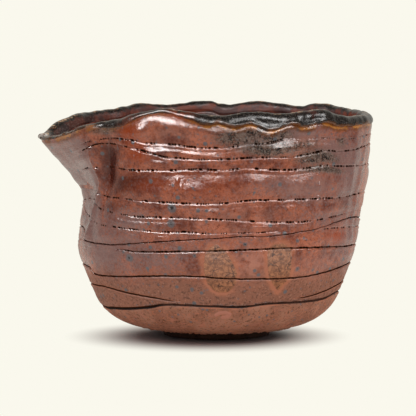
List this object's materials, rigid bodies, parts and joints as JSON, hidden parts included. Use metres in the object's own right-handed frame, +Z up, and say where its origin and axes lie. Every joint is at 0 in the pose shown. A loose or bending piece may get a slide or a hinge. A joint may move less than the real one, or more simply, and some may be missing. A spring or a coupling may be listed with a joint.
{
  "type": "tea bowl",
  "caption": "Hand-altered stoneware tea bowl with a drawn pouring spout, uneven dark glazed rim, iron-red glazed wall and a low foot ring.",
  "frame": {"origin": "centre of the bowl's box on the surface that it stands on", "axes": "+Z up, spout towards -X, the side with the finger marks towards -Y"},
  "size_m": [0.13, 0.1214, 0.0908],
  "materials": {
    "bare_clay": "matt brown stoneware",
    "iron_red_glaze": "glossy mottled iron red",
    "lining_glaze": "glossy iron red, darker than outside",
    "black_rim_glaze": "thick glossy black that breaks amber at its edges"
  },
  "bodies": {
    "root": {"foot_ring": "bare_clay", "base_dish": "bare_clay", "bowl_wall": "bare_clay", "spout": "bare_clay", "outer_glaze": "iron_red_glaze", "inner_glaze": "lining_glaze", "rim_glaze": "black_rim_glaze"}
  },
  "joints": []
}
